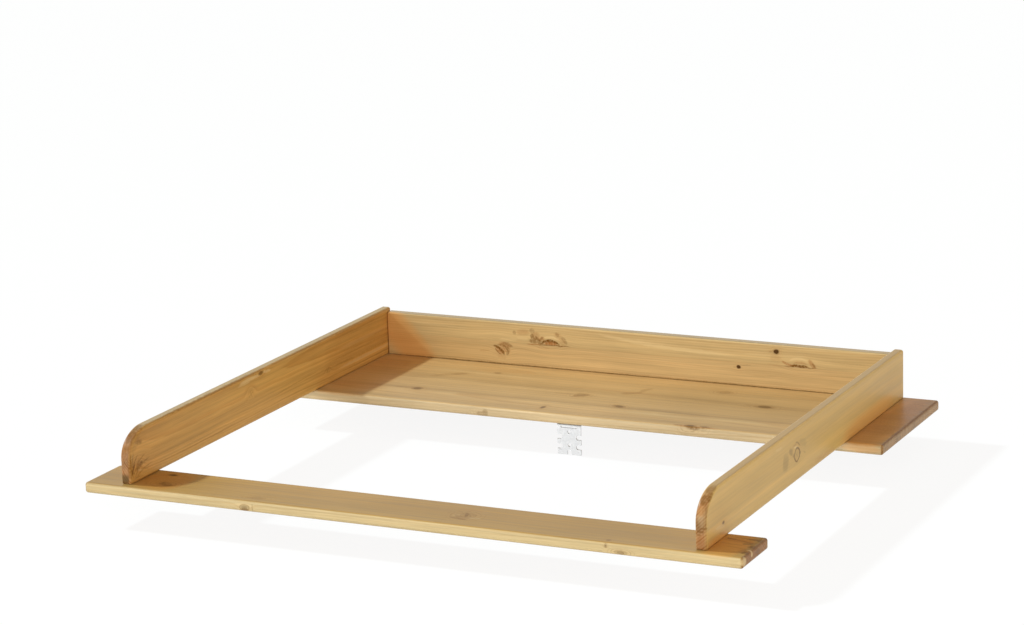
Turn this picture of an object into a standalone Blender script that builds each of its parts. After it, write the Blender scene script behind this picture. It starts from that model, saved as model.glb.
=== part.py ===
"""Wooden changing top that is laid on a chest of drawers.

Two boards of edge-glued pine lie level, one along the front and a deeper one along the rear, with the
chest's own top showing between them. Two side rails with rounded noses bridge them, and a lower back
rail closes the mat bay at the rear. Countersunk screws come up through the boards, glued dowels keep
the rails in line, and a notched steel bracket under the rear board ties the top to the chest's back.

Axes: X to the right, Y to the rear, Z up. The origin is on the front board's underside, at the middle
of its width and depth. All lengths are in metres.
"""

import math

import bmesh
import bpy
from mathutils import Matrix, Vector

# Boards
TOP_WIDTH = 1.020
TOP_DEPTH = 0.830
BOARD_THICKNESS = 0.016
FRONT_BOARD_DEPTH = 0.095
REAR_BOARD_DEPTH = 0.267

# Rails
RAIL_THICKNESS = 0.016
SIDE_RAIL_HEIGHT = 0.0765
SIDE_RAIL_INSET = 0.0558
RAIL_FRONT_SETBACK = 0.012
RAIL_REAR_SETBACK = 0.003
NOSE_RUN = 0.056
NOSE_DROP = 0.040
BACK_RAIL_HEIGHT = 0.071

# Rounded arrises, the gap that neighbouring pieces keep, and how far a cut runs past a face
BOARD_ARRIS = 0.004
SIDE_RAIL_ARRIS = 0.004
BACK_RAIL_ARRIS = 0.0025
FIT_GAP = 0.0003
CUT_OVERRUN = 0.002

# Countersunk wood screws, driven from below through a board into a rail
SCREW_SHANK_DIAMETER = 0.004
SCREW_HEAD_DIAMETER = 0.008
SCREW_HEAD_RIM = 0.0004
SCREW_LENGTH = 0.045
SCREW_TIP_LENGTH = 0.005
SCREW_HEAD_DEPTH = 0.0004
DRIVE_SPAN = 0.0046
DRIVE_WING = 0.0012
DRIVE_DEPTH = 0.0018

# Beech dowels, glued blind across the joints
DOWEL_DIAMETER = 0.008
DOWEL_LENGTH = 0.030
DOWEL_HOLE_FLOOR = 0.006
DOWEL_CHAMFER = 0.001

# Fixing bracket: a notched steel angle whose upright leg hangs behind the chest's back
BRACKET_WIDTH = 0.040
BRACKET_WAIST = 0.023
BRACKET_DROP = 0.050
BRACKET_REACH = 0.045
BRACKET_THICKNESS = 0.002
BRACKET_BEND_RADIUS = 0.0015
BRACKET_SETBACK = 0.0085
BRACKET_CORNER = 0.0015
NOTCH_HEIGHT = 0.0074
NOTCH_PITCH = 0.0155
NOTCH_ROWS = 2
LOWEST_LUG = 0.009
BRACKET_HOLE_DIAMETER = 0.0055
UPPER_HOLE_DROP = 0.0135
HOLE_PITCH = 0.0207
LEVEL_HOLE_MARGIN = 0.0108
END_SLOT_WIDTH = 0.0068
END_SLOT_LENGTH = 0.0082
RELIEF_SLOT_WIDTH = 0.028
RELIEF_SLOT_HEIGHT = 0.0028
RELIEF_SLOT_DROP = 0.0058

# Pan-head screws that hold the bracket's level leg to the rear board
PAN_HEAD_DIAMETER = 0.0085
PAN_HEAD_HEIGHT = 0.0028
PAN_SCREW_COVER = 0.005
PAN_SCREW_TIP_LENGTH = 0.004

# Where the fasteners stand, as shares of the joint that they hold
FRONT_SCREW_SHARES = (0.5,)
FRONT_DOWEL_SHARES = (0.27, 0.76)
REAR_SCREW_SHARES = (0.2, 0.75)
REAR_DOWEL_SHARES = (0.08, 0.48)
BACK_SCREW_SHARES = (0.08, 0.5, 0.92)
BACK_DOWEL_SHARES = (0.29, 0.71)
END_DOWEL_SHARES = (0.28, 0.72)

# Shares of a screw's head: the cross recess's floor, and the pan head's crown in radius and height
DRIVE_FLOOR_SHARE = 0.5
PAN_CROWN_SHARES = ((0.50, 1.0), (0.78, 0.86), (0.94, 0.58), (1.0, 0.25))

# Facets
ARRIS_SEGMENTS = 4
NOSE_SEGMENTS = 16
ROUND_SIDES = 16
BEND_SEGMENTS = 6
SLOT_SEGMENTS = 8
CORNER_SEGMENTS = 4
SHARP_ANGLE = math.radians(32)

# Places worked out from the sizes above
FRONT_Y = -FRONT_BOARD_DEPTH / 2
REAR_Y = FRONT_Y + TOP_DEPTH
FRONT_BOARD_REAR_Y = FRONT_Y + FRONT_BOARD_DEPTH
REAR_BOARD_FRONT_Y = REAR_Y - REAR_BOARD_DEPTH
RAIL_FRONT_Y = FRONT_Y + RAIL_FRONT_SETBACK
RAIL_REAR_Y = REAR_Y - RAIL_REAR_SETBACK
RAIL_FOOT_Z = BOARD_THICKNESS + FIT_GAP
SIDE_RAIL_MID_X = TOP_WIDTH / 2 - SIDE_RAIL_INSET - RAIL_THICKNESS / 2
BACK_RAIL_HALF_LENGTH = SIDE_RAIL_MID_X - RAIL_THICKNESS / 2 - FIT_GAP
BACK_RAIL_MID_Y = RAIL_REAR_Y - RAIL_THICKNESS / 2
BAY_REAR_Y = BACK_RAIL_MID_Y - RAIL_THICKNESS / 2 - FIT_GAP
BRACKET_FACE_Y = REAR_BOARD_FRONT_Y + BRACKET_SETBACK
BRACKET_TOP_Z = -FIT_GAP
BRACKET_UNDER_Z = BRACKET_TOP_Z - BRACKET_THICKNESS
PAN_SCREW_LENGTH = BOARD_THICKNESS - PAN_SCREW_COVER - BRACKET_UNDER_Z

# Colour, roughness and metallic value of each stuff
STUFFS = {
    "pine": ((0.60, 0.36, 0.13, 1.0), 0.38, 0.0),
    "beech": ((0.62, 0.44, 0.26, 1.0), 0.60, 0.0),
    "zinc": ((0.72, 0.72, 0.72, 1.0), 0.35, 1.0),
    "steel": ((0.62, 0.60, 0.55, 1.0), 0.30, 1.0),
}


def clear_scene():
    """Remove whatever the open file holds."""
    for old in list(bpy.data.objects):
        bpy.data.objects.remove(old, do_unlink=True)


def finish(name, stuff):
    """One Principled material for one sub-part."""
    colour, roughness, metallic = STUFFS[stuff]
    material = bpy.data.materials.new(name)
    material.use_nodes = True
    shader = material.node_tree.nodes["Principled BSDF"]
    shader.inputs["Base Color"].default_value = colour
    shader.inputs["Roughness"].default_value = roughness
    shader.inputs["Metallic"].default_value = metallic
    return material


def add_part(name, mesh, stuff):
    """Link a mesh to the scene as a named sub-part with a material of its own."""
    part = bpy.data.objects.new(name, mesh)
    bpy.context.scene.collection.objects.link(part)
    mesh.materials.clear()
    mesh.materials.append(finish(name, stuff))
    return part


def add_cutter(name, mesh):
    """Link a mesh that only cuts sub-parts and isn't one itself."""
    cutter = bpy.data.objects.new(name, mesh)
    bpy.context.scene.collection.objects.link(cutter)
    cutter.hide_render = True
    cutter.display_type = "WIRE"
    return cutter


def mesh_from(name, build):
    """A mesh of whatever build adds to an empty bmesh, its faces pointing out."""
    bm = bmesh.new()
    build(bm)
    bmesh.ops.recalc_face_normals(bm, faces=bm.faces)
    mesh = bpy.data.meshes.new(name)
    bm.to_mesh(mesh)
    bm.free()
    return mesh


def evaluated_copy(item, name):
    """The mesh that an object's modifiers give, as a mesh of its own."""
    depsgraph = bpy.context.evaluated_depsgraph_get()
    mesh = bpy.data.meshes.new_from_object(item.evaluated_get(depsgraph))
    mesh.name = name
    return mesh


def shade_round(mesh):
    """Shade round stretches smooth and leave real edges sharp."""
    mesh.shade_smooth()
    mesh.set_sharp_from_angle(angle=SHARP_ANGLE)


def skin(bm, outlines):
    """Close a solid over a row of outlines that have the same number of points."""
    rings = [[bm.verts.new(point) for point in outline] for outline in outlines]
    bm.faces.new(rings[0])
    bm.faces.new(rings[-1])
    count = len(rings[0])
    for lower, upper in zip(rings, rings[1:]):
        for i in range(count):
            j = (i + 1) % count
            bm.faces.new((lower[i], lower[j], upper[j], upper[i]))


def divide(bm, point, direction):
    """Run an edge round a solid where a plane meets it."""
    everything = bm.verts[:] + bm.edges[:] + bm.faces[:]
    bmesh.ops.bisect_plane(bm, geom=everything, plane_co=point, plane_no=direction)


def add_turned(bm, profile, place=Matrix.Identity(4)):
    """Turn a profile of (radius, height) points about Z and put it in its place."""
    outlines = []
    for radius, height in profile:
        ring = []
        for step in range(ROUND_SIDES):
            angle = math.tau * step / ROUND_SIDES
            ring.append(place @ Vector((radius * math.cos(angle), radius * math.sin(angle), height)))
        outlines.append(ring)
    skin(bm, outlines)
    bmesh.ops.remove_doubles(bm, verts=bm.verts, dist=FIT_GAP / ROUND_SIDES)


def arc(centre, radii, start, end, segments):
    """Points of an elliptical arc between two angles, both ends included."""
    points = []
    for step in range(segments + 1):
        angle = start + (end - start) * step / segments
        across = centre[0] + radii[0] * math.cos(angle)
        along = centre[1] + radii[1] * math.sin(angle)
        points.append((across, along))
    return points


def rounded_box_outline(low, high, radius, segments):
    """Outline of a rectangle with round corners, from its low corner to its high one."""
    left = low[0] + radius
    right = high[0] - radius
    near = low[1] + radius
    far = high[1] - radius
    outline = []
    for turn, centre in enumerate(((right, far), (left, far), (left, near), (right, near))):
        start = turn * math.pi / 2
        outline += arc(centre, (radius, radius), start, start + math.pi / 2, segments)
    return outline


def plate(outline, low, high):
    """An outline at two heights, ready to be skinned."""
    return [[(x, y, height) for x, y in outline] for height in (low, high)]


def at_share(start, end, share):
    """The place that divides a stretch at a share of its length."""
    return start + (end - start) * share


def round_edges(part, radius):
    """Round every edge, as a moulder and a sander leave it."""
    bevel = part.modifiers.new("arris", "BEVEL")
    bevel.width = radius
    bevel.segments = ARRIS_SEGMENTS
    bevel.limit_method = "ANGLE"
    bevel.angle_limit = SHARP_ANGLE


def cut(part, cutter):
    """Take a cutter's shape out of a sub-part."""
    boolean = part.modifiers.new(cutter.name, "BOOLEAN")
    boolean.operation = "DIFFERENCE"
    boolean.solver = "EXACT"
    boolean.object = cutter


def board(name, front, rear):
    """Edge-glued pine board across the whole width, its faces divided where the mat bay ends."""
    half = TOP_WIDTH / 2
    outline = [(-half, front), (half, front), (half, rear), (-half, rear)]

    def build(bm):
        skin(bm, plate(outline, 0, BOARD_THICKNESS))
        divide(bm, (-BACK_RAIL_HALF_LENGTH, 0, 0), (1, 0, 0))
        divide(bm, (BACK_RAIL_HALF_LENGTH, 0, 0), (1, 0, 0))
        divide(bm, (0, BAY_REAR_Y, 0), (0, 1, 0))

    mesh = mesh_from(name, build)
    shade_round(mesh)
    part = add_part(name, mesh, "pine")
    round_edges(part, BOARD_ARRIS)
    return part


def side_rail(name, middle_x):
    """Side rail on edge: its upper front corner is an elliptical nose of a run and a drop."""
    top = RAIL_FOOT_Z + SIDE_RAIL_HEIGHT
    nose_centre = (RAIL_FRONT_Y + NOSE_RUN, top - NOSE_DROP)
    profile = [(RAIL_FRONT_Y, RAIL_FOOT_Z), (RAIL_REAR_Y, RAIL_FOOT_Z), (RAIL_REAR_Y, top)]
    profile += arc(nose_centre, (NOSE_RUN, NOSE_DROP), math.pi / 2, math.pi, NOSE_SEGMENTS)
    faces = (middle_x - RAIL_THICKNESS / 2, middle_x + RAIL_THICKNESS / 2)
    outlines = [[(x, y, z) for y, z in profile] for x in faces]
    mesh = mesh_from(name, lambda bm: skin(bm, outlines))
    shade_round(mesh)
    part = add_part(name, mesh, "pine")
    round_edges(part, SIDE_RAIL_ARRIS)
    return part


def back_rail(name):
    """Lower rail that stands on the rear board between the side rails, flush with their ends."""
    front = BACK_RAIL_MID_Y - RAIL_THICKNESS / 2
    half = BACK_RAIL_HALF_LENGTH
    outline = [(-half, front), (half, front), (half, RAIL_REAR_Y), (-half, RAIL_REAR_Y)]
    outlines = plate(outline, RAIL_FOOT_Z, RAIL_FOOT_Z + BACK_RAIL_HEIGHT)
    mesh = mesh_from(name, lambda bm: skin(bm, outlines))
    shade_round(mesh)
    part = add_part(name, mesh, "pine")
    round_edges(part, BACK_RAIL_ARRIS)
    return part


def screw_profile():
    """Countersunk screw that stands on its head: rim, 45 degree cone, shank and point."""
    head = SCREW_HEAD_DIAMETER / 2
    shank = SCREW_SHANK_DIAMETER / 2
    return [
        (head, 0),
        (head, SCREW_HEAD_RIM),
        (shank, SCREW_HEAD_RIM + head - shank),
        (shank, SCREW_LENGTH - SCREW_TIP_LENGTH),
        (0, SCREW_LENGTH),
    ]


def screw_hole_profile():
    """Countersink, clearance and pilot hole, from below the board to just past the screw's point."""
    head = SCREW_HEAD_DIAMETER / 2 + FIT_GAP
    shank = SCREW_SHANK_DIAMETER / 2 + FIT_GAP
    rim = SCREW_HEAD_DEPTH + SCREW_HEAD_RIM
    return [
        (head, -CUT_OVERRUN),
        (head, rim),
        (shank, rim + head - shank),
        (shank, SCREW_HEAD_DEPTH + SCREW_LENGTH + FIT_GAP),
    ]


def pan_screw_profile():
    """Pan-head screw with its crown down, its seat at zero and its shank upwards."""
    head = PAN_HEAD_DIAMETER / 2
    shank = SCREW_SHANK_DIAMETER / 2
    crown = [(head * radius, -PAN_HEAD_HEIGHT * drop) for radius, drop in PAN_CROWN_SHARES]
    return crown + [
        (head, 0),
        (shank, 0),
        (shank, PAN_SCREW_LENGTH - PAN_SCREW_TIP_LENGTH),
        (0, PAN_SCREW_LENGTH),
    ]


def pan_hole_profile():
    """Pilot hole in the rear board's underside, from the bracket to just past the screw's point."""
    shank = SCREW_SHANK_DIAMETER / 2 + FIT_GAP
    return [
        (shank, BRACKET_TOP_Z),
        (shank, BRACKET_UNDER_Z + PAN_SCREW_LENGTH + FIT_GAP),
    ]


def dowel_profile(thickness):
    """Chamfered dowel across a joint at height zero, its lower end in stock of this thickness."""
    radius = DOWEL_DIAMETER / 2
    low = DOWEL_HOLE_FLOOR - thickness
    high = low + DOWEL_LENGTH
    return [
        (radius - DOWEL_CHAMFER, low),
        (radius, low + DOWEL_CHAMFER),
        (radius, high - DOWEL_CHAMFER),
        (radius - DOWEL_CHAMFER, high),
    ]


def dowel_hole_profile(thickness):
    """Both blind holes of a dowel as one solid, a little wider and deeper than the dowel."""
    radius = DOWEL_DIAMETER / 2 + FIT_GAP
    low = DOWEL_HOLE_FLOOR - thickness
    return [
        (radius, low - FIT_GAP),
        (radius, low + DOWEL_LENGTH + FIT_GAP),
    ]


def cross_outline(share, height):
    """Outline of a cross recess at one height, its span and wings drawn in by a share."""
    tip = DRIVE_SPAN * share / 2
    wing = DRIVE_WING * share / 2
    points = [(tip, -wing), (tip, wing), (wing, wing)]
    outline = []
    for turn in range(4):
        spin = Matrix.Rotation(turn * math.pi / 2, 3, "Z")
        outline += [spin @ Vector((x, y, height)) for x, y in points]
    return outline


def screw_mesh(name, profile):
    """A turned screw with a tapering cross recess cut into its head."""
    head_z = profile[0][1]
    blank = add_cutter(name + "_blank", mesh_from(name, lambda bm: add_turned(bm, profile)))
    mouth = [cross_outline(1, head_z - CUT_OVERRUN), cross_outline(1, head_z)]
    floor = [cross_outline(DRIVE_FLOOR_SHARE, head_z + DRIVE_DEPTH)]
    recess = add_cutter(name + "_recess", mesh_from(name, lambda bm: skin(bm, mouth + floor)))
    cut(blank, recess)
    mesh = evaluated_copy(blank, name)
    shade_round(mesh)
    bpy.data.objects.remove(blank, do_unlink=True)
    bpy.data.objects.remove(recess, do_unlink=True)
    return mesh


def fasten(name, mesh, stuff, place):
    """One fastener: a copy of its kind's mesh, set in its place."""
    part = add_part(name, mesh.copy(), stuff)
    part.matrix_world = place
    return part


def upright(x, y, z=0):
    """Place of a fastener that stands along Z."""
    return Matrix.Translation((x, y, z))


def end_dowel_place(side, z):
    """Place of a dowel that lies across the back rail's end, its shallow end in a side rail."""
    joint_x = side * (SIDE_RAIL_MID_X - RAIL_THICKNESS / 2)
    return Matrix.Translation((joint_x, BACK_RAIL_MID_Y, z)) @ Matrix.Rotation(-side * math.pi / 2, 4, "Y")


def joint_places(start, end, shares):
    """Places along a joint, one for each share."""
    return [at_share(start, end, share) for share in shares]


def add_hole_cutter(name, holes):
    """One cutter that holds every (profile, place) of a joint."""

    def build(bm):
        for profile, place in holes:
            add_turned(bm, profile, place)

    return add_cutter(name, mesh_from(name, build))


def side_joint(side, label, boards, rail, screw, dowel):
    """Fasten a side rail to both boards, with its holes drilled through the pieces together."""
    x = side * SIDE_RAIL_MID_X
    screws = joint_places(RAIL_FRONT_Y, FRONT_BOARD_REAR_Y, FRONT_SCREW_SHARES)
    screws += joint_places(REAR_BOARD_FRONT_Y, RAIL_REAR_Y, REAR_SCREW_SHARES)
    dowels = joint_places(RAIL_FRONT_Y, FRONT_BOARD_REAR_Y, FRONT_DOWEL_SHARES)
    dowels += joint_places(REAR_BOARD_FRONT_Y, RAIL_REAR_Y, REAR_DOWEL_SHARES)
    holes = [(screw_hole_profile(), upright(x, y)) for y in screws]
    holes += [(dowel_hole_profile(BOARD_THICKNESS), upright(x, y, BOARD_THICKNESS)) for y in dowels]
    cutter = add_hole_cutter("holes_side_" + label, holes)
    for part in boards + [rail]:
        cut(part, cutter)
    for number, y in enumerate(screws, 1):
        fasten("screw_side_%s_%d" % (label, number), screw, "steel", upright(x, y, SCREW_HEAD_DEPTH))
    for number, y in enumerate(dowels, 1):
        fasten("dowel_side_%s_%d" % (label, number), dowel, "beech", upright(x, y, BOARD_THICKNESS))


def back_joint(rear_board, rail, screw, dowel):
    """Fasten the back rail down to the rear board."""
    y = BACK_RAIL_MID_Y
    half = BACK_RAIL_HALF_LENGTH
    screws = joint_places(-half, half, BACK_SCREW_SHARES)
    dowels = joint_places(-half, half, BACK_DOWEL_SHARES)
    holes = [(screw_hole_profile(), upright(x, y)) for x in screws]
    holes += [(dowel_hole_profile(BOARD_THICKNESS), upright(x, y, BOARD_THICKNESS)) for x in dowels]
    cutter = add_hole_cutter("holes_back", holes)
    cut(rear_board, cutter)
    cut(rail, cutter)
    for number, x in enumerate(screws, 1):
        fasten("screw_back_%d" % number, screw, "steel", upright(x, y, SCREW_HEAD_DEPTH))
    for number, x in enumerate(dowels, 1):
        fasten("dowel_back_%d" % number, dowel, "beech", upright(x, y, BOARD_THICKNESS))


def end_joint(side, label, rail, side_part, dowel):
    """Dowel the back rail's end into a side rail's inner face."""
    levels = joint_places(RAIL_FOOT_Z, RAIL_FOOT_Z + BACK_RAIL_HEIGHT, END_DOWEL_SHARES)
    places = [end_dowel_place(side, z) for z in levels]
    holes = [(dowel_hole_profile(RAIL_THICKNESS), place) for place in places]
    cutter = add_hole_cutter("holes_end_" + label, holes)
    cut(rail, cutter)
    cut(side_part, cutter)
    for number, place in enumerate(places, 1):
        fasten("dowel_end_%s_%d" % (label, number), dowel, "beech", place)


def slot_outline(centre, width, height):
    """Outline of a slot with round ends, lying across the bracket."""
    low = (centre[0] - width / 2, centre[1] - height / 2)
    high = (centre[0] + width / 2, centre[1] + height / 2)
    return rounded_box_outline(low, high, min(width, height) / 2, SLOT_SEGMENTS)


def bend_start():
    """Length of the level leg before its bend begins."""
    return BRACKET_REACH - BRACKET_BEND_RADIUS - BRACKET_THICKNESS


def bend_end():
    """Length along the outer skin at which the bend ends."""
    return bend_start() + (BRACKET_BEND_RADIUS + BRACKET_THICKNESS) * math.pi / 2


def flat_at_drop(drop):
    """Place on the flat strip of a point that lies this far below the bracket's top."""
    return bend_end() + drop - BRACKET_BEND_RADIUS - BRACKET_THICKNESS


def flat_at_reach(reach):
    """Place on the flat strip of a point that lies this far behind the bracket's face."""
    return BRACKET_REACH - reach


def level_hole_reaches():
    """How far behind the bracket's face the level leg's two holes lie: near the bend and near its end."""
    return (UPPER_HOLE_DROP, BRACKET_REACH - LEVEL_HOLE_MARGIN)


def bracket_holes():
    """Round holes of the flat strip, as centres: two in the upright leg and two in the level leg."""
    drops = (UPPER_HOLE_DROP, UPPER_HOLE_DROP + HOLE_PITCH)
    upright_leg = [(0, flat_at_drop(drop)) for drop in drops]
    level_leg = [(0, flat_at_reach(reach)) for reach in level_hole_reaches()]
    return upright_leg + level_leg


def bracket_punch_outlines():
    """Everything that is punched out of the flat strip."""
    half = BRACKET_WIDTH / 2
    diameter = BRACKET_HOLE_DIAMETER
    outlines = [slot_outline(centre, diameter, diameter) for centre in bracket_holes()]
    first_notch = BRACKET_DROP - LOWEST_LUG - NOTCH_HEIGHT / 2
    notch_width = BRACKET_WIDTH - BRACKET_WAIST
    for row in range(NOTCH_ROWS):
        level = flat_at_drop(first_notch - row * NOTCH_PITCH)
        for side in (-1, 1):
            outlines.append(slot_outline((side * half, level), notch_width, NOTCH_HEIGHT))
    relief = (0, flat_at_drop(RELIEF_SLOT_DROP))
    outlines.append(slot_outline(relief, RELIEF_SLOT_WIDTH, RELIEF_SLOT_HEIGHT))
    end = (0, flat_at_drop(BRACKET_DROP))
    outlines.append(slot_outline(end, END_SLOT_WIDTH, 2 * END_SLOT_LENGTH))
    return outlines


def bent(x, along, depth):
    """Where a point of the flat strip comes to lie once the strip is bent down through 90 degrees."""
    outer = BRACKET_BEND_RADIUS + BRACKET_THICKNESS
    centre_y = BRACKET_FACE_Y + outer
    centre_z = BRACKET_TOP_Z - outer
    if along <= bend_start():
        return Vector((x, BRACKET_FACE_Y + BRACKET_REACH - along, BRACKET_TOP_Z - depth))
    if along >= bend_end():
        return Vector((x, BRACKET_FACE_Y + depth, centre_z - (along - bend_end())))
    angle = (along - bend_start()) / outer
    radius = outer - depth
    return Vector((x, centre_y - radius * math.sin(angle), centre_z + radius * math.cos(angle)))


def fixing_bracket(name):
    """Steel strip, punched flat and then bent: X across, Y along the strip, Z into its thickness."""
    half = BRACKET_WIDTH / 2
    tip = (half, flat_at_drop(BRACKET_DROP))
    strip = rounded_box_outline((-half, 0), tip, BRACKET_CORNER, CORNER_SEGMENTS)
    strip_mesh = mesh_from(name, lambda bm: skin(bm, plate(strip, 0, BRACKET_THICKNESS)))
    blank = add_cutter(name + "_blank", strip_mesh)

    def punch(bm):
        for outline in bracket_punch_outlines():
            skin(bm, plate(outline, -CUT_OVERRUN, BRACKET_THICKNESS + CUT_OVERRUN))

    punches = add_cutter(name + "_punches", mesh_from(name, punch))
    cut(blank, punches)
    punched = evaluated_copy(blank, name)
    bm = bmesh.new()
    bm.from_mesh(punched)
    for step in range(BEND_SEGMENTS + 1):
        along = at_share(bend_start(), bend_end(), step / BEND_SEGMENTS)
        divide(bm, (0, along, 0), (0, 1, 0))
    for vert in bm.verts:
        vert.co = bent(*vert.co)
    bm.to_mesh(punched)
    bm.free()
    shade_round(punched)
    bpy.data.objects.remove(blank, do_unlink=True)
    bpy.data.objects.remove(punches, do_unlink=True)
    return add_part(name, punched, "zinc")


def bracket_joint(rear_board, screw):
    """Screw the bracket's level leg to the underside of the rear board."""
    places = [(0, BRACKET_FACE_Y + reach) for reach in level_hole_reaches()]
    holes = [(pan_hole_profile(), upright(x, y)) for x, y in places]
    cut(rear_board, add_hole_cutter("holes_bracket", holes))
    for number, (x, y) in enumerate(places, 1):
        fasten("screw_bracket_%d" % number, screw, "steel", upright(x, y, BRACKET_UNDER_Z - FIT_GAP))


def turned_mesh(name, profile):
    """A turned piece as a smooth-shaded mesh."""
    mesh = mesh_from(name, lambda bm: add_turned(bm, profile))
    shade_round(mesh)
    return mesh


def main():
    clear_scene()
    front_board = board("front_board", FRONT_Y, FRONT_BOARD_REAR_Y)
    rear_board = board("rear_board", REAR_BOARD_FRONT_Y, REAR_Y)
    left = side_rail("side_rail_left", -SIDE_RAIL_MID_X)
    right = side_rail("side_rail_right", SIDE_RAIL_MID_X)
    back = back_rail("back_rail")
    fixing_bracket("fixing_bracket")

    screw = screw_mesh("countersunk_screw", screw_profile())
    pan_screw = screw_mesh("pan_screw", pan_screw_profile())
    board_dowel = turned_mesh("board_dowel", dowel_profile(BOARD_THICKNESS))
    rail_dowel = turned_mesh("rail_dowel", dowel_profile(RAIL_THICKNESS))

    boards = [front_board, rear_board]
    side_joint(-1, "left", boards, left, screw, board_dowel)
    side_joint(1, "right", boards, right, screw, board_dowel)
    back_joint(rear_board, back, screw, board_dowel)
    end_joint(-1, "left", back, left, rail_dowel)
    end_joint(1, "right", back, right, rail_dowel)
    bracket_joint(rear_board, pan_screw)


main()
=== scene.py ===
"""Looks of a wooden changing top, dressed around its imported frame.

Every wooden piece is a rounded plate: a flat core outline, pushed out all round by the arris radius. Its
pine is worked out in the solid: rings lie about a pith line outside each stave, so faces, arrises and end
grain of one piece belong together. The steel bracket and screws keep their own shapes, with fine edges.
"""

import math

import bmesh
import bpy
import numpy as np
from mathutils import Matrix, Vector


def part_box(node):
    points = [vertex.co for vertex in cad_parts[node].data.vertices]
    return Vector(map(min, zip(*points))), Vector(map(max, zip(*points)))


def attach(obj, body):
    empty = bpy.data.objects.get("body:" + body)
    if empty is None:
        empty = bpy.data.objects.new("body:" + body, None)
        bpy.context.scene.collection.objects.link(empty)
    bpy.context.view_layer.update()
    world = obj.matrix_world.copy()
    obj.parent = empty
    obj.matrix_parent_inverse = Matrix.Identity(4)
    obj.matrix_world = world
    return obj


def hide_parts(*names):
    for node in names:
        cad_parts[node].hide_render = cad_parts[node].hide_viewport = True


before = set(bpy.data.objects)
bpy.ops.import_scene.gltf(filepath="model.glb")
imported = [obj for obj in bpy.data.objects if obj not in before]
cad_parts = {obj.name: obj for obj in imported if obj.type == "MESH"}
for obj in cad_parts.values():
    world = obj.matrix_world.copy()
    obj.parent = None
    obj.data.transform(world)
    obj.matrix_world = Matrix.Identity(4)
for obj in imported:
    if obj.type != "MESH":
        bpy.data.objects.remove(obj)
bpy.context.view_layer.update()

# Sizes that the frame's boxes don't tell, in metres
BOARD_ARRIS = 0.004
SIDE_RAIL_ARRIS = 0.004
BACK_RAIL_ARRIS = 0.0025
NOSE_RUN = 0.056
NOSE_DROP = 0.040
SCREW_HEAD_DEPTH = 0.0004
SCREW_HEAD_RIM = 0.0004
SCREW_CLEARANCE = 0.0003
SCREW_SHANK_RADIUS = 0.002
COUNTERSINK_FLOOR = 0.008
CUT_OVERRUN = 0.002
BRACKET_EDGE = 0.0002
SCREW_EDGE = 0.00008

# The power that tightens the arris at a rail's foot
FOOT_TIGHTNESS = 0.12

# How finely the surfaces are divided
ARRIS_STEPS = 8
FLAT_MARGIN = 0.0006
NOSE_STEPS = 20
RUN_STEPS = 24
TURN_SIDES = 48
MERGE_DISTANCE = 0.00001
FLAT_ANGLE = math.radians(0.5)
SHARP_ANGLE = math.radians(30)
BEVEL_ANGLE = math.radians(40)

# The axes that run along the grain, across it and through the piece
BOARD_GRAIN = (0, 1, 2)
BACK_RAIL_GRAIN = (0, 2, 1)
SIDE_RAIL_GRAIN = (1, 2, 0)


def handed(axes):
    """One where three axes follow each other as x, y and z do, and minus one where they don't."""
    return 1 if axes in ((0, 1, 2), (1, 2, 0), (2, 0, 1)) else -1


def linked(name, data):
    """A new object in the scene."""
    piece = bpy.data.objects.new(name, data)
    bpy.context.scene.collection.objects.link(piece)
    return piece


def run_shares(length, steps=RUN_STEPS):
    """Shares of a straight run, with a close pair at each end that keeps the flat flat up to the arris."""
    margin = FLAT_MARGIN / length
    return np.concatenate(([0.0], np.linspace(margin, 1 - margin, steps), [1.0]))


def straight(start, end, normal):
    """A straight side of a core outline: its points from start to end, and one outward normal."""
    start, end = np.array(start, float), np.array(end, float)
    shares = run_shares(np.linalg.norm(end - start))[:, None]
    points = start + (end - start) * shares
    return points, np.tile(np.array(normal, float), (len(points), 1))


def elliptical(centre, radii, start, end, inset):
    """An elliptical side: the ellipse's points drawn in along their normals by an inset."""
    angle = np.linspace(start, end, NOSE_STEPS)
    points = np.array(centre) + np.array(radii) * np.stack((np.cos(angle), np.sin(angle)), axis=1)
    normals = np.stack((np.cos(angle) / radii[0], np.sin(angle) / radii[1]), axis=1)
    normals /= np.linalg.norm(normals, axis=1, keepdims=True)
    return points - inset * normals, normals


def matched(start, end, pattern, normal):
    """A straight side divided in the same shares as another side's coordinates."""
    share = (pattern - pattern[0]) / (pattern[-1] - pattern[0])
    points = np.array(start) + (np.array(end) - np.array(start)) * share[:, None]
    return points, np.tile(np.array(normal, float), (len(points), 1))


def box_sides(low, high, arris):
    """Bottom, right, top and left side of a rectangle's core, each from its low end to its high end."""
    left, near = low[0] + arris, low[1] + arris
    right, far = high[0] - arris, high[1] - arris
    return (
        straight((left, near), (right, near), (0, -1)),
        straight((right, near), (right, far), (1, 0)),
        straight((left, far), (right, far), (0, 1)),
        straight((left, near), (left, far), (-1, 0)),
    )


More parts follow.
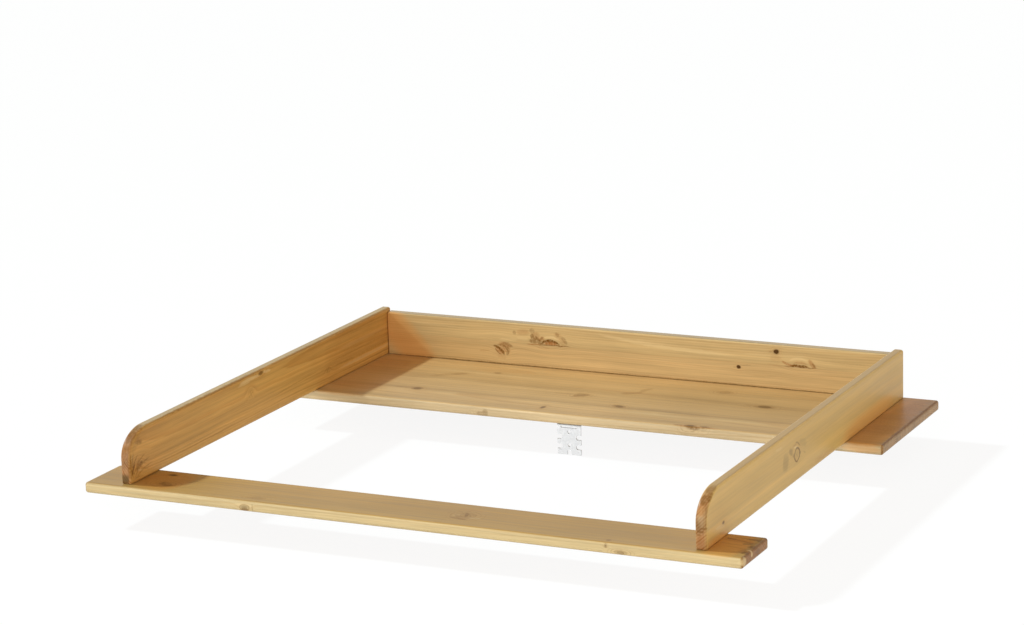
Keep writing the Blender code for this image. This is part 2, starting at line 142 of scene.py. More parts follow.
def nosed_sides(low, high, arris):
    """The same four sides of a rail whose upper front corner is a quarter of an ellipse."""
    front, foot = low[0] + arris, low[1] + arris
    rear, top = high[0] - arris, high[1] - arris
    centre = (low[0] + NOSE_RUN, high[1] - NOSE_DROP)
    radii = (NOSE_RUN, NOSE_DROP)
    lower_nose = elliptical(centre, radii, math.pi, 0.75 * math.pi, arris)
    upper_nose = elliptical(centre, radii, 0.75 * math.pi, 0.5 * math.pi, arris)
    upright = straight((front, foot), (front, centre[1]), (-1, 0))
    ridge = straight((centre[0], top), (rear, top), (0, 1))
    left = tuple(np.concatenate((a[:-1], b)) for a, b in zip(upright, lower_nose))
    upper = tuple(np.concatenate((a[:-1], b)) for a, b in zip(upper_nose, ridge))
    return (
        matched((front, foot), (rear, foot), upper[0][:, 0], (0, -1)),
        matched((rear, foot), (rear, top), left[0][:, 1], (1, 0)),
        upper,
        left,
    )


def fan(point, first, last):
    """A corner of a core outline: one point, whose normal turns from one side's to the next's."""
    start = math.atan2(first[1], first[0])
    turn = (math.atan2(last[1], last[0]) - start) % math.tau
    angle = start + turn * np.arange(1, ARRIS_STEPS) / ARRIS_STEPS
    normals = np.stack((np.cos(angle), np.sin(angle)), axis=1)
    return np.tile(point, (len(angle), 1)), normals


def outline_of(sides):
    """The closed outline: bottom, right, top and left side in turn, with a fan at each corner."""
    bottom, right, top, left = sides
    loop = [bottom, right, (top[0][::-1], top[1][::-1]), (left[0][::-1], left[1][::-1])]
    points, normals = [], []
    for here, there in zip(loop, loop[1:] + loop[:1]):
        corner = fan(here[0][-1], here[1][-1], there[1][0])
        points += [here[0], corner[0]]
        normals += [here[1], corner[1]]
    return np.concatenate(points), np.concatenate(normals)


def stretched_grid(sides):
    """A flat grid between four sides: the two blends of opposite sides, less the blend of the corners."""
    bottom, right, top, left = (side[0] for side in sides)
    u = ((bottom[:, 0] - bottom[0, 0]) / (bottom[-1, 0] - bottom[0, 0]))[:, None, None]
    v = ((right[:, 1] - right[0, 1]) / (right[-1, 1] - right[0, 1]))[None, :, None]
    between = (1 - v) * bottom[:, None] + v * top[:, None] + (1 - u) * left[None] + u * right[None]
    near_corners = (1 - u) * (1 - v) * bottom[0] + u * (1 - v) * bottom[-1]
    return between - (near_corners + (1 - u) * v * top[0] + u * v * top[-1])


def grid_faces(rows, columns, closed=False):
    """Four-sided faces of a grid of points numbered row by row; closed joins the last row to the first."""
    i, j = np.meshgrid(np.arange(rows if closed else rows - 1), np.arange(columns - 1), indexing="ij")
    here = i * columns + j
    there = (i + 1) % rows * columns + j
    return np.stack((here, there, there + 1, here + 1), axis=-1).reshape(-1, 4)


def close_up(mesh, flat_angle=None):
    """Merge a mesh's points that lie together and, given an angle, its flat faces; then smooth it."""
    bm = bmesh.new()
    bm.from_mesh(mesh)
    bmesh.ops.remove_doubles(bm, verts=bm.verts, dist=MERGE_DISTANCE)
    if flat_angle:
        bmesh.ops.dissolve_limit(bm, angle_limit=flat_angle, verts=bm.verts, edges=bm.edges)
    bm.to_mesh(mesh)
    bm.free()
    mesh.shade_smooth()
    return mesh


def made_mesh(name, points, faces):
    """A mesh of these points and faces, with its seams and poles closed."""
    mesh = bpy.data.meshes.new(name)
    mesh.from_pydata(points.tolist(), [], faces.tolist())
    return close_up(mesh)


def rounded_plate(name, sides, low, high, arris, axes, foot):
    """A plate with every edge rounded.

    Round the rim, a point of the core outline goes out along its normal by the arris times a cosine, and
    through the thickness by the arris times the sine of the same angle. Each cheek is the core's own grid.
    Below the core's foot a point's share of the arris is raised to a power, which tightens that edge.
    """
    angle = np.linspace(-math.pi / 2, 0, ARRIS_STEPS + 1)
    through = low + arris + arris * np.sin(angle)
    flat = low + arris + (high - low - 2 * arris) * run_shares(high - low - 2 * arris, 2)
    through = np.concatenate((through, flat[1:-1], (low + high - through)[::-1]))
    outward = np.concatenate((np.cos(angle), np.ones(len(flat) - 2), np.cos(angle)[::-1]))
    core, normals = outline_of(sides)
    rim = np.empty((len(core), len(through), 3))
    rim[..., :2] = core[:, None] + arris * outward[None, :, None] * normals[:, None]
    rim[..., 2] = through
    cheek = stretched_grid(sides)
    rows, columns = cheek.shape[:2]
    cheeks = [np.concatenate((cheek, np.full((rows, columns, 1), level)), axis=2) for level in (low, high)]
    points = np.concatenate([part.reshape(-1, 3) for part in [rim] + cheeks])
    foot_line = core[:, 1].min()
    down = np.clip((foot_line - points[:, 1]) / arris, 0, 1).round(6)
    points[:, 1] = np.where(down > 0, foot_line - arris * down ** foot, points[:, 1])
    first = len(core) * len(through)
    cheek_faces = grid_faces(rows, columns) + first
    rim_faces = grid_faces(len(core), len(through), closed=True)
    faces = np.concatenate((rim_faces, cheek_faces[:, ::-1], cheek_faces + rows * columns))
    placed = np.empty_like(points)
    placed[:, list(axes)] = points
    return made_mesh(name, placed, faces[:, ::handed(axes)])


# Each wooden piece: its grain, its arris, its outline and the power of its foot arris, where one is round
WOODEN_PIECES = {
    "front_board": (BOARD_GRAIN, BOARD_ARRIS, box_sides, 1.0),
    "rear_board": (BOARD_GRAIN, BOARD_ARRIS, box_sides, 1.0),
    "back_rail": (BACK_RAIL_GRAIN, BACK_RAIL_ARRIS, box_sides, FOOT_TIGHTNESS),
    "side_rail_left": (SIDE_RAIL_GRAIN, SIDE_RAIL_ARRIS, nosed_sides, FOOT_TIGHTNESS),
    "side_rail_right": (SIDE_RAIL_GRAIN, SIDE_RAIL_ARRIS, nosed_sides, FOOT_TIGHTNESS),
}


def turned_mesh(name, profile, centre):
    """A solid of revolution about an upright axis: a profile point goes round at its radius and height."""
    profile = np.array(profile)
    angle = np.arange(TURN_SIDES) * math.tau / TURN_SIDES
    points = np.empty((TURN_SIDES, len(profile), 3))
    points[..., 0] = centre[0] + profile[:, 0] * np.cos(angle)[:, None]
    points[..., 1] = centre[1] + profile[:, 0] * np.sin(angle)[:, None]
    points[..., 2] = centre[2] + profile[:, 1]
    return made_mesh(name, points.reshape(-1, 3), grid_faces(TURN_SIDES, len(profile), closed=True))


def dress(piece, finish):
    """Give a piece its one finish."""
    piece.data.materials.clear()
    piece.data.materials.append(finish)


def add_piece(node, ending, mesh):
    """Link a finished piece, let it ride with the body and stand for its CAD node."""
    piece = linked(node + ending, mesh)
    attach(piece, "root")
    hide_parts(node)
    return piece


def corner_pair(node, axes):
    """A node's box in the order along, across and through."""
    low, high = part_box(node)
    return [low[axis] for axis in axes], [high[axis] for axis in axes]


def countersink_profile(head_radius):
    """Countersink with its mouth past the underside: radius and height from the screw head's seat."""
    shank = SCREW_SHANK_RADIUS + SCREW_CLEARANCE
    head = head_radius + SCREW_CLEARANCE
    seat = SCREW_HEAD_DEPTH + SCREW_HEAD_RIM
    return [
        (0, -CUT_OVERRUN),
        (head, -CUT_OVERRUN),
        (head, seat),
        (shank, seat + head - shank),
        (shank, COUNTERSINK_FLOOR),
        (0, COUNTERSINK_FLOOR),
    ]


def countersunk(mesh, board):
    """The board's mesh with a countersink for each screw that comes up through its underside."""
    front, rear = (corner.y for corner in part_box(board))
    blank = linked("blank", mesh)
    helpers = [blank]
    for screw in sorted(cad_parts):
        low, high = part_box(screw)
        if not screw.startswith(("screw_side", "screw_back")) or not front < low.y < rear:
            continue
        centre = ((low.x + high.x) / 2, (low.y + high.y) / 2, 0)
        profile = countersink_profile((high.x - low.x) / 2)
        cutter = linked("countersink", turned_mesh("countersink", profile, centre))
        boolean = blank.modifiers.new("countersink", "BOOLEAN")
        boolean.object = cutter
        boolean.solver = "EXACT"
        helpers.append(cutter)
    depsgraph = bpy.context.evaluated_depsgraph_get()
    drilled = bpy.data.meshes.new_from_object(blank.evaluated_get(depsgraph))
    drilled.shade_smooth()
    drilled.set_sharp_from_angle(angle=SHARP_ANGLE)
    for helper in helpers:
        bpy.data.objects.remove(helper)
    return drilled


def dress_wood(node, pine_name, looks, staves, bands, knots, strokes):
    """Make a wooden piece as a rounded plate, with countersinks under a board, and give it its pine."""
    grain, arris, sides_of, foot = WOODEN_PIECES[node]
    pine = lacquered_pine(pine_name, node, grain, looks, staves, bands, knots, strokes)
    low, high = corner_pair(node, grain)
    mesh = rounded_plate(node, sides_of(low, high, arris), low[2], high[2], arris, grain, foot)
    if node.endswith("board"):
        mesh = countersunk(mesh, node)
    dress(add_piece(node, "_pine", mesh), pine)


def dressed_steel(node, edge):
    """A steel piece: its own solid with merged points, flat faces kept flat and its edges just broken."""
    mesh = close_up(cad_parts[node].data.copy(), FLAT_ANGLE)
    mesh.set_sharp_from_angle(angle=SHARP_ANGLE)
    piece = add_piece(node, "_steel", mesh)
    bevel = piece.modifiers.new("broken_edge", "BEVEL")
    bevel.width = edge
    bevel.segments = 2
    bevel.limit_method = "ANGLE"
    bevel.angle_limit = BEVEL_ANGLE
    return piece


def screen(red, green, blue):
    """A colour as a screen shows it, from 0 to 255, in linear light."""
    shares = [value / 255 for value in (red, green, blue)]
    linear = [share / 12.92 if share <= 0.04045 else ((share + 0.055) / 1.055) ** 2.4 for share in shares]
    return (*linear, 1.0)


class Finish:
    """A material, or the world, whose nodes are added and linked as its recipe is written."""

    def __init__(self, owner):
        owner.use_nodes = True
        self.material = owner
        self.nodes = owner.node_tree.nodes
        self.links = owner.node_tree.links
        self.shader = self.nodes.get("Principled BSDF")

    def put(self, socket, value):
        """Link a socket's source, or write a plain value on it."""
        if isinstance(value, bpy.types.NodeSocket):
            self.links.new(value, socket)
        else:
            socket.default_value = value

    def feed(self, node, **values):
        """Feed a node's inputs by name, written with underscores for spaces."""
        for name, value in values.items():
            self.put(node.inputs[name.replace("_", " ")], value)
        return node

    def add(self, kind, *values, **settings):
        """Add a node, set its options and feed its inputs in order."""
        node = self.nodes.new(kind)
        for option, setting in settings.items():
            setattr(node, option, setting)
        for socket, value in zip(node.inputs, values):
            self.put(socket, value)
        return node

    def math(self, operation, *values):
        return self.add("ShaderNodeMath", *values, operation=operation).outputs[0]

    def plus(self, first, *rest):
        for value in rest:
            first = self.math("ADD", first, value)
        return first

    def times(self, first, *rest):
        for value in rest:
            first = self.math("MULTIPLY", first, value)
        return first

    def most(self, first, second):
        return self.math("MAXIMUM", first, second)

    def size(self, value):
        return self.math("ABSOLUTE", value)

    def vector(self, operation, *values):
        node = self.add("ShaderNodeVectorMath", *values, operation=operation)
        return node.outputs["Value" if operation == "LENGTH" else "Vector"]

    def joined(self, x, y, z):
        return self.add("ShaderNodeCombineXYZ", x, y, z).outputs[0]

    def parts(self, vector):
        return self.add("ShaderNodeSeparateXYZ", vector).outputs

    def coordinates(self, kind="Object"):
        return self.add("ShaderNodeTexCoord").outputs[kind]

    def noise(self, place, detail=2.0, roughness=0.5, scale=1.0):
        node = self.add("ShaderNodeTexNoise")
        self.feed(node, Vector=place, Scale=scale, Detail=detail, Roughness=roughness)
        return node.outputs[0]

    def step(self, value, low, high, to_low=0.0, to_high=1.0):
        """A soft step from one level to another between two values."""
        node = self.add("ShaderNodeMapRange", value, low, high, to_low, to_high)
        node.interpolation_type = "SMOOTHSTEP"
        return node.outputs[0]

    def blend(self, share, first, second, kind="MIX"):
        """Mix two colours by a share."""
        node = self.add("ShaderNodeMix", share, data_type="RGBA", blend_type=kind)
        self.put(node.inputs[6], first)
        self.put(node.inputs[7], second)
        return node.outputs[2]

    def levels(self, value, rows, kind):
        """Look a value up along a ramp: each row is (place, colour)."""
        node = self.add("ShaderNodeValToRGB", value)
        node.color_ramp.interpolation = kind
        elements = node.color_ramp.elements
        for number, (place, colour) in enumerate(rows):
            element = elements[number] if number < 2 else elements.new(place)
            element.position = place
            element.color = colour
        if len(rows) == 1:
            elements.remove(elements[1])
        return node.outputs[0]

    def bump(self, height, strength, distance):
        node = self.feed(self.add("ShaderNodeBump"), Height=height, Strength=strength, Distance=distance)
        self.put(self.shader.inputs["Normal"], node.outputs[0])


# Colours of lacquered pine
KNOT_HEART = screen(82, 52, 4)
# Dark brown of knot lines and stains; also painted shade beside the rails and along rail feet and edges
DARK_LINE_AND_SHADE = screen(114, 72, 10)
# Red-brown of knot patches and stains; also painted warm shade in broad strokes beside the rails
RED_STAIN_AND_SHADE = screen(160, 96, 36)
KNOT_HALO = screen(200, 146, 84)
PALE_WOOD = screen(236, 212, 160)
# Grey-brown of stains; also painted shade in broad strokes over the boards' right halves and the front
# board's left end
GREY_STAIN_AND_SHADE = screen(96, 74, 40)
# Orange-brown used only for painted warm shade, where the rails shade the boards and each other
AMBER_SHADE = screen(232, 154, 66)
LATE_STAIN = screen(214, 184, 146)

# In the wood: how far a pith may lie, wander and dive, the glue line and its stain, and a stroke's depth
PITH_REACH = 0.25
PITH_WANDER = 0.020
PITH_DIVE = 0.10
GLUE_LINE = 0.0005
GLUE_STAIN = 0.14
STROKE_REACH = 0.006

# Noise scales along and across the grain, and how far the noises stir rings, bands, knots and strokes
RING_WARP = (3.2, 26.0)
SLOW_STREAKS = (0.9, 26.0)
FINE_STREAKS = (5.0, 210.0)
FIBRES = (22.0, 1100.0)
WOBBLE_SCALE = 95.0
BREAK_SCALE = 130.0
MOTTLE_SCALE = 330.0
RING_STIR = 1.7
BAND_STIR = 0.010
BAND_STRENGTH = 0.85
KNOT_STIR = (0.5, 0.5, 0.5)
STROKE_STIR = (0.0024, 0.0024, 0.0024)

# A knot's marks: how fast its pull falls, where its rim lies, and the turn of its arcs for each radius
PULL_FALL = 0.35
RIM_DISTANCE = 0.98
ARC_TURN = 12.0

# Depth of the grain under the lacquer
GRAIN_BUMP = 0.22
GRAIN_DEPTH = 0.00012

# Looks that most pieces share; each adds its colours, its figure and the level of its seen face in mm
COMMON_LOOKS = {
    "gloss": 0.16, "ring": 3.4, "streaks": 0.9, "short_grain": 0.75, "end_reach": 0.45, "end_figure": 0.65,
    "end_rim": 1.0, "edge_reach": (0.45, 0.92),
}
SIDE_RAIL_LOOKS = {**COMMON_LOOKS, "short_grain": 0.0, "end_reach": 0.12, "edge_reach": (0.78, 0.98)}


def knot(spot, size, heart, rim, arcs, swell=1.5, turn=0.0, part=0.45):
    """A knot: its middle and radii in millimetres, how strongly its heart, rim and arcs show, how many
    rings it swells the count by, its lean in degrees, and the share by which it draws the grain in."""
    spot, size = ([value / 1000 for value in triple] for triple in (spot, size))
    return spot, size, heart, rim, arcs, swell, math.radians(turn), part


def on_axes(axes, values):
    """Values for along, across and through, put on their own axes."""
    triple = [0.0, 0.0, 0.0]
    for axis, value in zip(axes, values):
        triple[axis] = value
    return triple


def seen_from(pine, grain, place, spot, size, turn):
    """The place as seen from a mark: its middle is zero and its rim is one."""
    node = pine.add("ShaderNodeMapping", place, vector_type="TEXTURE")
    pine.feed(node, Location=spot, Scale=size)
    node.inputs["Rotation"].default_value[grain[2]] = handed(grain) * turn
    return node.outputs[0]


def knot_marks(pine, grain, place, stir, knots):
    """What the knots do to the wood: the place drawn in, the swelling, and hearts, lines and halo.

    The pull of a knot is the exponential of minus its squared distance times a number. The wood is drawn to
    its middle, and the ring count swells, by shares of the pull. Arcs are a sine of the distance.
    """
    broken = pine.step(pine.noise(place, scale=BREAK_SCALE, detail=1.0), 0.36, 0.56, 0.25, 1.0)
    parted = place
    swelling, hearts, lines, halo = 0.0, 0.0, 0.0, 0.0
    for spot, size, heart, rim, arcs, swell, turn, part in knots:
        near = seen_from(pine, grain, place, spot, size, turn)
        squared = pine.math("POWER", pine.vector("LENGTH", near), 2.0)
        pull = pine.math("EXPONENT", pine.times(squared, -PULL_FALL))
        distance = pine.vector("LENGTH", pine.vector("MULTIPLY_ADD", stir, KNOT_STIR, near))
        offset = pine.vector("SUBTRACT", place, spot)
        drawn_in = pine.times(pull, -part)
        parted = pine.vector("MULTIPLY_ADD", offset, pine.joined(drawn_in, drawn_in, drawn_in), parted)
        swelling = pine.plus(pine.times(pull, swell), swelling)
        hearts = pine.most(pine.step(distance, 1.0, 0.55, 0.0, heart), hearts)
        marks = pine.step(pine.size(pine.plus(distance, -RIM_DISTANCE)), 0.22, 0.05, 0.0, rim)
        if arcs:
            wave = pine.step(pine.math("SINE", pine.times(distance, ARC_TURN)), 0.1, 1.0)
            marks = pine.most(marks, pine.times(wave, pine.step(distance, 2.8, 1.4, 0.0, arcs), broken))
        lines = pine.most(marks, lines)
        halo = pine.most(pine.times(pull, 0.4 * heart + 0.6 * arcs), halo)
    return parted, swelling, hearts, lines, halo


def stroke_marks(pine, grain, place, stir, level, strokes):
    """How strongly each kind of stroke shows.

    A row holds a stroke's start along and across the grain, its end, width and strength, and may add its
    bow and its level through the wood; lengths are in millimetres. The stroke follows a parabola between
    the points, and fades with its distance sideways squared plus its other distance to the fourth power.
    """
    drawn = dict.fromkeys(("dark", "red", "pale", "grey", "amber"), 0.0)
    loose = pine.vector("MULTIPLY_ADD", stir, STROKE_STIR, place)
    for kind, rows in strokes.items():
        for row in rows:
            width, strength, bow, depth = row[4:] + (0, level)[len(row) - 6:]
            start, end = np.array(row[:2]) / 1000, np.array(row[2:4]) / 1000
            run, half_width, bow = end - start, width / 2000, bow / 1000
            crest = (start + end) / 2 + bow * np.array((-run[1], run[0])) / np.linalg.norm(run)
            spot = on_axes(grain, (*crest, depth / 1000))
            size = on_axes(grain, (np.linalg.norm(run) / 2, half_width, STROKE_REACH))
            seen = pine.parts(seen_from(pine, grain, loose, spot, size, math.atan2(run[1], run[0])))
            run_squared = pine.times(seen[grain[0]], seen[grain[0]])
            off = pine.math("MULTIPLY_ADD", run_squared, bow / half_width, seen[grain[1]])
            reach = pine.math("MULTIPLY_ADD", seen[grain[2]], seen[grain[2]], run_squared)
            past = pine.math("MULTIPLY_ADD", off, off, pine.times(reach, reach))
            drawn[kind] = pine.most(pine.step(past, 1.9, 0.1, 0.0, strength), drawn[kind])
    mottle = pine.step(pine.noise(place, scale=MOTTLE_SCALE, detail=2.0), 0.34, 0.60, 0.60, 1.0)
    drawn["dark"] = pine.times(drawn["dark"], mottle)
    drawn["red"] = pine.times(drawn["red"], mottle)
    return drawn


def stretched(pine, along, sides, scales):
    """The place scaled by one number along the grain and by another across it."""
    return pine.joined(pine.times(along, scales[0]), *(pine.times(side, scales[1]) for side in sides))


def lacquered_pine(name, node, grain, looks, staves, bands, knots, strokes):
    """Pine cut from the log, under clear lacquer.

    Each stave has its own pith line, beside or below the piece, that wanders and dives along the grain.
    The distance to it, counted in ring widths, gives the rings: pale early wood that darkens slowly into
    late wood and starts again at once. Around a knot the wood is drawn towards its middle, so the grain
    parts there, and the ring count swells. Bands are long tones across the width. Strokes add dark, red,
    pale and grey lines and patches, and painted warm shade; broad dark, red and grey strokes also paint
    shade where the rails shade the boards. A stave holds where it ends, its pith across and below in
    millimetres, its chance and its tint; a band holds its place in millimetres and its tone in percent.
    """
    pine = Finish(bpy.data.materials.new(name))
    low, high = corner_pair(node, grain)
    width = high[1] - low[1]
    place = pine.coordinates()
    true_across = pine.parts(place)[grain[1]]
    wobble = pine.feed(pine.add("ShaderNodeTexNoise"), Vector=place, Scale=WOBBLE_SCALE, Detail=1.0)
    stir = pine.vector("SUBTRACT", wobble.outputs["Color"], (0.5, 0.5, 0.5))
    parted, swelling, hearts, lines, halo = knot_marks(pine, grain, place, stir, knots)
    drawn = stroke_marks(pine, grain, place, stir, looks["level"], strokes)
    axes = pine.parts(parted)
    along, across, deep = (axes[axis] for axis in grain)
    sides = (across, deep)

    # Which stave, and where its pith lies
    share = pine.times(pine.plus(true_across, -low[1]), 1 / width)
    starts = [0.0] + [stave[0] for stave in staves[:-1]]
    piths = [
        (*(0.5 + value / 2000 / PITH_REACH for value in stave[1:3]), stave[3], 1.0) for stave in staves]
    pith_levels = pine.levels(share, list(zip(starts, piths)), "CONSTANT")
    pith = pine.add("ShaderNodeSeparateColor", pith_levels).outputs
    tones = [screen(*stave[4]) for stave in staves]
    tone = pine.levels(share, list(zip(starts, tones)), "CONSTANT")
    chance = pith[2]
    drift = pine.joined(pine.plus(pine.times(along, 1.3), pine.times(chance, 23.0)), chance, 0.0)
    wander = pine.times(pine.plus(pine.noise(drift, detail=1.0), -0.5), PITH_WANDER)
    dive = pine.times(pine.plus(chance, -0.5), PITH_DIVE)
    from_middle = [pine.times(pine.plus(pith[number], -0.5), 2 * PITH_REACH) for number in (0, 1)]
    pith_across = pine.plus(from_middle[0], (low[1] + high[1]) / 2, wander)
    pith_deep = pine.plus(from_middle[1], (low[2] + high[2]) / 2, pine.times(along, dive), wander)
    off_across = pine.math("SUBTRACT", across, pith_across)
    off_deep = pine.math("SUBTRACT", deep, pith_deep)
    radius = pine.vector("LENGTH", pine.joined(off_across, off_deep, 0.0))

    # Rings, of uneven vigour and warped a little
    warp = pine.noise(stretched(pine, along, sides, RING_WARP), detail=4.0, roughness=0.6)
    warp = pine.times(pine.plus(warp, -0.5), RING_STIR)
    count = pine.plus(pine.times(radius, 1000 / looks["ring"]), warp, swelling)
    ring = pine.math("FRACT", count)
    vigour = pine.add("ShaderNodeTexWhiteNoise", noise_dimensions="1D")
    pine.feed(vigour, W=pine.plus(pine.math("FLOOR", count), chance))
    late = pine.times(pine.step(ring, 0.15, 0.88), pine.step(ring, 1.0, 0.90))
    late = pine.times(late, pine.plus(pine.times(vigour.outputs[0], 0.8), 0.2))

    # Streaks and fibres along the grain, and broad bands across the piece
    slow, streak, fibre = (
        pine.noise(stretched(pine, along, sides, scales), detail=detail, roughness=0.6)
        for scales, detail in ((SLOW_STREAKS, 2.0), (FINE_STREAKS, 4.0), (FIBRES, 2.0)))
    cloud = pine.noise(place, scale=9.0, detail=2.0)
    grain_shade = pine.plus(
        pine.step(slow, 0.25, 0.75, -0.05, 0.05), pine.step(streak, 0.25, 0.75, -0.15, 0.12),
        pine.step(fibre, 0.2, 0.8, -0.08, 0.07), pine.step(cloud, 0.3, 0.7, -0.03, 0.03))
    sway = pine.times(pine.plus(pine.noise(drift, scale=4.0, detail=2.0), -0.5), BAND_STIR)
    band_share = pine.times(pine.plus(across, sway, -low[1]), 1 / width)
    rows = [
        ((where / 1000 - low[1]) / width, (*[0.5 + percent / 40] * 3, 1.0)) for where, percent in bands]
    band = pine.times(pine.plus(pine.levels(band_share, rows, "EASE"), -0.5), BAND_STRENGTH)
    faded = pine.step(pine.noise(drift, scale=3.0, detail=1.0), 0.3, 0.7, 0.6, 1.3)
    shade = pine.plus(pine.times(grain_shade, looks["streaks"]), pine.times(band, faded), 1.0)
    for stave in staves[:-1]:
        off_glue = pine.size(pine.plus(true_across, -low[1] - stave[0] * width))
        shade = pine.plus(shade, pine.step(off_glue, GLUE_LINE, 0.0, 0.0, -GLUE_STAIN))

    # Long edges take a tone of painted light; end grain drinks more lacquer, and the short grain beside it
    # most
    # The edge tone is paler where the front light falls on the boards' front edges, and darker on the
    # rails' key-lit tops
    normal = pine.parts(pine.coordinates("Normal"))
    sideways = pine.step(pine.size(normal[grain[1]]), *looks["edge_reach"])
    # Faces towards the minus side of the through axis; on a side rail this is the side the key light falls
    # on
    turned_away = pine.step(normal[grain[2]], -0.45, -0.92)
    facing = pine.size(normal[grain[0]])
    end = pine.step(facing, looks["end_reach"], looks["end_reach"] + 0.45)
    end = pine.times(end, pine.step(normal[grain[2]], 0.15, 0.60, 1.0, looks["end_rim"]))
    short = pine.times(pine.step(facing, 0.12, 0.45), pine.step(facing, 0.97, 0.70), looks["short_grain"])
    # That key-lit side of a rail takes a darker face colour of its own: painted shade that evens it with
    # the shaded side
    far_face = looks.get("far_face", looks["face"])
    colour = pine.blend(turned_away, screen(*looks["face"]), screen(*far_face))
    for part, tint in ((sideways, "edge"), (end, "end"), (short, "short")):
        colour = pine.blend(part, colour, screen(*looks[tint]))
    depth = pine.plus(pine.times(end, looks["end_figure"]), looks["figure"])
    late_colour = pine.blend(1.0, colour, LATE_STAIN, "MULTIPLY")
    colour = pine.blend(pine.times(late, depth), colour, late_colour)
    colour = pine.blend(1.0, colour, tone, "MULTIPLY")
    colour = pine.vector("MULTIPLY", colour, pine.joined(shade, shade, shade))
    for part, tint in (
        (pine.times(halo, 0.28), KNOT_HALO), (drawn["amber"], AMBER_SHADE), (drawn["pale"], PALE_WOOD),
        (drawn["red"], RED_STAIN_AND_SHADE), (pine.times(lines, 0.75), DARK_LINE_AND_SHADE), (drawn["dark"], DARK_LINE_AND_SHADE),
        (drawn["grey"], GREY_STAIN_AND_SHADE), (hearts, KNOT_HEART),
    ):
        colour = pine.blend(part, colour, tint)
    pine.feed(pine.shader, Base_Color=colour, Roughness=pine.step(streak, 0.2, 0.8, 0.32, 0.42))
    pine.feed(pine.shader, Specular_IOR_Level=looks["gloss"])
    height = pine.plus(
        pine.times(fibre, 0.5), pine.times(streak, 0.4), pine.times(late, 0.35), pine.times(hearts, -0.3))
    pine.bump(height, GRAIN_BUMP, GRAIN_DEPTH)
    return pine.material


def dress_front_board():
    """The front board: three staves, a stained right end, and painted shade beside the rails, over its
    right half and at its left end.
    """
    looks = {
        **COMMON_LOOKS, "face": (171, 136, 78), "edge": (204, 182, 137), "end": (164, 121, 74),
        "short": (124, 82, 36), "figure": 0.32, "short_grain": 0.5, "level": 16,
    }
    staves = [
        (0.27, -90, -35, 0.62, (255, 255, 255)), (0.64, 70, 60, 0.31, (250, 248, 246)),
        (1.0, -60, -70, 0.78, (255, 251, 244)),
    ]
    bands = [(-40, 0), (-22, -2), (-12, 0), (2, 2), (14, 1), (30, -1), (40, 0)]
    knots = [
        knot((-406, 28, 16), (9, 6, 8), 0.9, 0.3, 0.3),
        knot((-392, -15, 15), (15, 10, 12), 0.4, 0.2, 0.4, turn=-10),
        knot((-233, -30, 15), (14, 5, 8), 0.25, 0.3, 0.3, turn=3),
        knot((-243, -46, 6.0), (8.5, 6, 4.4), 0.42, 0.6, 0.0),
        knot((84, -4, 16), (13, 11, 9), 0.2, 0.3, 0.5, turn=-4),
        knot((314, -37, 14), (4, 4, 4), 0.5, 0.5, 0.2, swell=0.6),
        knot((314, -46, 11), (2.4, 3, 3), 0.6, 0.5, 0.2, swell=0.6),
        knot((336, -46, 4), (9, 4, 3), 0.45, 0.4, 0.5), knot((496, 30, 15), (10, 4, 6), 0.5, 0.4, 0.2),
    ]
    # Painted shade: broad strokes and a dark line at the left rail's foot, broad strokes over the right
    # end, right half and left end
    strokes = {}
    strokes["dark"] = [
        (-401, -4, -388, -23, 6, 0.6, -2), (-388, -22, -378, -18, 5, 0.55), (-431, -10, -419, -24, 6, 0.25),
        (-437, 38, -437, -30, 5, 0.3), (-438, 6, -366, -4, 76, 0.14), (504, -32, 506, -20, 9, 0.75, 0, 14),
        (504, -6, 506, 8, 9, 0.75, 0, 13), (506, 22, 506, 30, 6, 0.5, 0, 12),
        (506, 40, 507, 46, 8, 0.6, 0, 12), (458, 27, 474, 24, 5, 0.85), (474, 22, 504, 12, 2.6, 0.5, 2),
        (462, 34, 504, 30, 2.4, 0.5), (470, -6, 500, -10, 2.4, 0.35), (456, 6, 492, 3, 2.4, 0.35),
        (-231, -47.5, -229.4, -47.5, 5, 0.4, 0, 7), (-250, -47.5, -236, -47.5, 4, 0.55, 0, 0),
        (80, 8, 87, -9, 5, 0.7, 1), (66, -15, 94, -21, 5, 0.55, -1), (62, -3, 79, -12, 2.2, 0.3, 1),
        (86, -3, 99, 5, 2.4, 0.35, 1), (70, 12, 78, 2, 2, 0.2),
    ]
    strokes["red"] = [
        (-438, 6, -366, -4, 76, 0.34), (-426, 22, -406, 24, 12, 0.45), (-400, 14, -392, 8, 8, 0.25),
        (62, 22, 98, 21, 6, 0.18), (458, 22, 500, 18, 12, 0.45), (498, -26, 506, -10, 14, 0.35, 0, 14),
    ]
    strokes["amber"] = [(446, 2, 500, 2, 88, 0.5), (-438, 6, -366, -4, 76, 0.28)]
    strokes["grey"] = [
        (488, 9, 502, 13, 8, 0.6), (482, 17, 506, 17, 3, 0.4), (502, 24, 507, 34, 8, 0.4, 0, 14),
        (508, 2, 508, 18, 8, 0.3, 0, 7), (-60, 0, 560, 0, 130, 0.15), (-520, -10, -440, -10, 70, 0.15),
    ]
    strokes["pale"] = [
        (508, -48, 508, -34, 14, 0.6, 0, 9), (507, -17, 507, -11, 10, 0.75, 0, 12),
        (508, 40, 508, 48, 6, 0.35, 0, 7), (66, -8, 78, -1, 3, 0.25), (92, -12, 110, -10, 4, 0.2),
    ]
    dress_wood("front_board", "front_board_pine", looks, staves, bands, knots, strokes)


